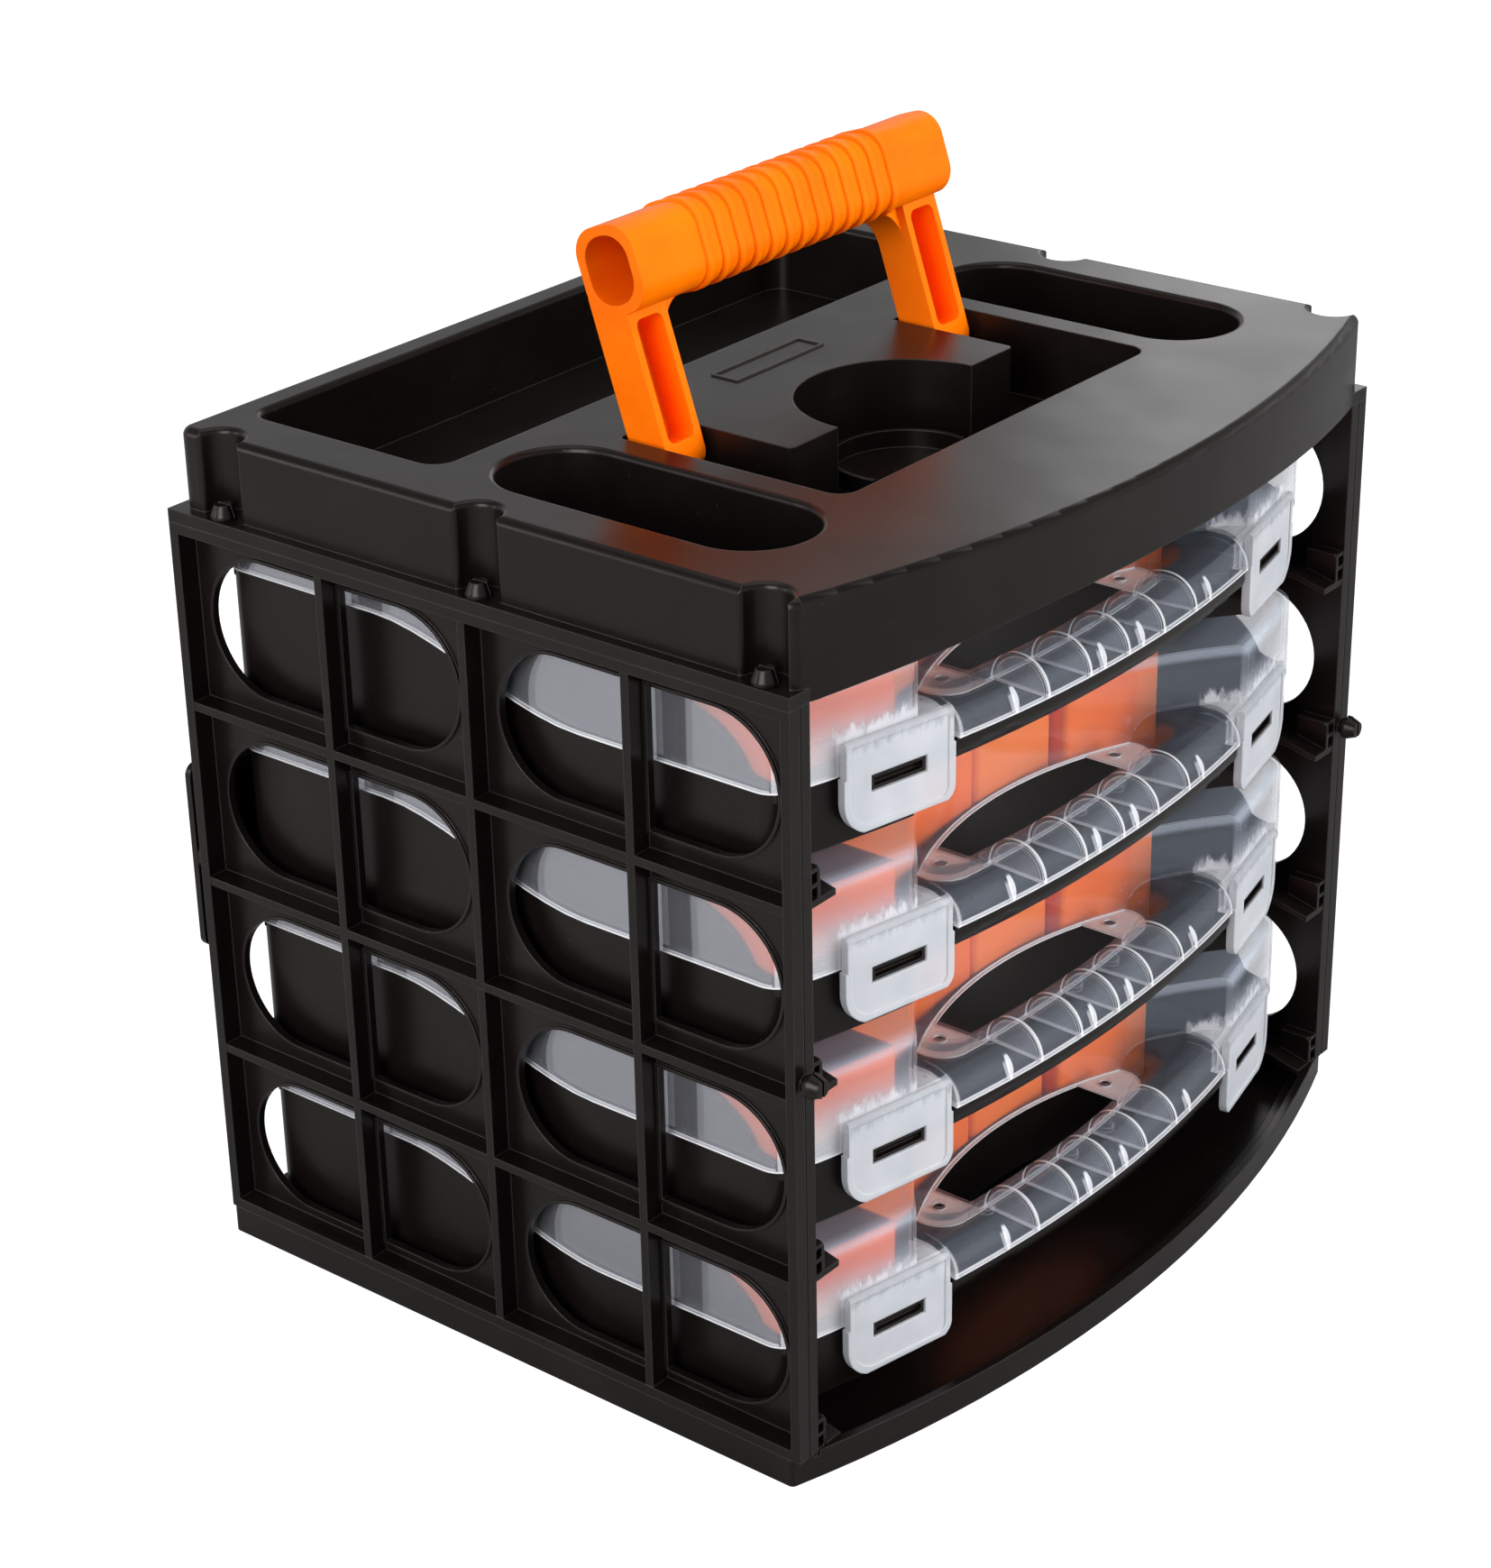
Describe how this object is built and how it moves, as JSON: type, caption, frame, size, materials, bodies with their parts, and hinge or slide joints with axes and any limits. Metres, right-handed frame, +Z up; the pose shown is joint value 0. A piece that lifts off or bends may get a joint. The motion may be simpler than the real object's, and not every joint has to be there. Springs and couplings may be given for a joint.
{
  "type": "drawer organizer box",
  "caption": "Stacking rack with lattice sides, a pocketed top and a folding carrying handle, holding slide-out clear-lidded cases with swinging clips and lift-out bins.",
  "frame": {"origin": "middle of the underside of the base, between the side panels and half way along them", "axes": "+X to the right seen from the front, +Y to the back, +Z up"},
  "size_m": [0.3206, 0.2778, 0.3642],
  "materials": {
    "black_shell": "satin moulded polypropylene",
    "clear_lid": "translucent natural polypropylene",
    "frosted_clip": "thick translucent natural polypropylene",
    "orange_handle": "satin moulded polypropylene",
    "orange_bin": "satin moulded polystyrene"
  },
  "bodies": {
    "rack": {"base": "black_shell", "left_panel": "black_shell", "right_panel": "black_shell", "rear_brace": "black_shell", "top_cover": "black_shell"},
    "handle": {"carry_handle": "orange_handle"},
    "case1": {"case1_tray": "black_shell", "case1_lid": "clear_lid", "case1_front_bins": "orange_bin", "case1_rear_bins": "orange_bin"},
    "case1_left_clip": {"case1_left_clip": "frosted_clip"},
    "case1_right_clip": {"case1_right_clip": "frosted_clip"},
    "case2": {"case2_tray": "black_shell", "case2_lid": "clear_lid", "case2_front_bins": "orange_bin", "case2_rear_bins": "orange_bin"},
    "case2_left_clip": {"case2_left_clip": "frosted_clip"},
    "case2_right_clip": {"case2_right_clip": "frosted_clip"},
    "case3": {"case3_tray": "black_shell", "case3_lid": "clear_lid", "case3_front_bins": "orange_bin", "case3_rear_bins": "orange_bin"},
    "case3_left_clip": {"case3_left_clip": "frosted_clip"},
    "case3_right_clip": {"case3_right_clip": "frosted_clip"},
    "case4": {"case4_tray": "black_shell", "case4_lid": "clear_lid", "case4_front_bins": "orange_bin", "case4_rear_bins": "orange_bin"},
    "case4_left_clip": {"case4_left_clip": "frosted_clip"},
    "case4_right_clip": {"case4_right_clip": "frosted_clip"}
  },
  "joints": [
    {"name": "handle_fold", "type": "hinge", "parent": "rack", "child": "handle", "pos_m": [0, -0.009, 0.2895], "axis": [1, 0, 0], "range_deg": [0, 108]},
    {"name": "case1_slide", "type": "slide", "parent": "rack", "child": "case1", "axis": [0, -1, 0], "range_m": [0, 0.2]},
    {"name": "case1_left_clip_swing", "type": "hinge", "parent": "case1", "child": "case1_left_clip", "pos_m": [-0.10478, -0.12154, 0.0476], "axis": [-0.9766, 0.2153, 0], "range_deg": [0, 110]},
    {"name": "case1_right_clip_swing", "type": "hinge", "parent": "case1", "child": "case1_right_clip", "pos_m": [0.10478, -0.12154, 0.0476], "axis": [-0.9766, -0.2153, 0], "range_deg": [0, 110]},
    {"name": "case2_slide", "type": "slide", "parent": "rack", "child": "case2", "axis": [0, -1, 0], "range_m": [0, 0.2]},
    {"name": "case2_left_clip_swing", "type": "hinge", "parent": "case2", "child": "case2_left_clip", "pos_m": [-0.10478, -0.12154, 0.1114], "axis": [-0.9766, 0.2153, 0], "range_deg": [0, 110]},
    {"name": "case2_right_clip_swing", "type": "hinge", "parent": "case2", "child": "case2_right_clip", "pos_m": [0.10478, -0.12154, 0.1114], "axis": [-0.9766, -0.2153, 0], "range_deg": [0, 110]},
    {"name": "case3_slide", "type": "slide", "parent": "rack", "child": "case3", "axis": [0, -1, 0], "range_m": [0, 0.2]},
    {"name": "case3_left_clip_swing", "type": "hinge", "parent": "case3", "child": "case3_left_clip", "pos_m": [-0.10478, -0.12154, 0.1752], "axis": [-0.9766, 0.2153, 0], "range_deg": [0, 110]},
    {"name": "case3_right_clip_swing", "type": "hinge", "parent": "case3", "child": "case3_right_clip", "pos_m": [0.10478, -0.12154, 0.1752], "axis": [-0.9766, -0.2153, 0], "range_deg": [0, 110]},
    {"name": "case4_slide", "type": "slide", "parent": "rack", "child": "case4", "axis": [0, -1, 0], "range_m": [0, 0.2]},
    {"name": "case4_left_clip_swing", "type": "hinge", "parent": "case4", "child": "case4_left_clip", "pos_m": [-0.10478, -0.12154, 0.239], "axis": [-0.9766, 0.2153, 0], "range_deg": [0, 110]},
    {"name": "case4_right_clip_swing", "type": "hinge", "parent": "case4", "child": "case4_right_clip", "pos_m": [0.10478, -0.12154, 0.239], "axis": [-0.9766, -0.2153, 0], "range_deg": [0, 110]}
  ]
}
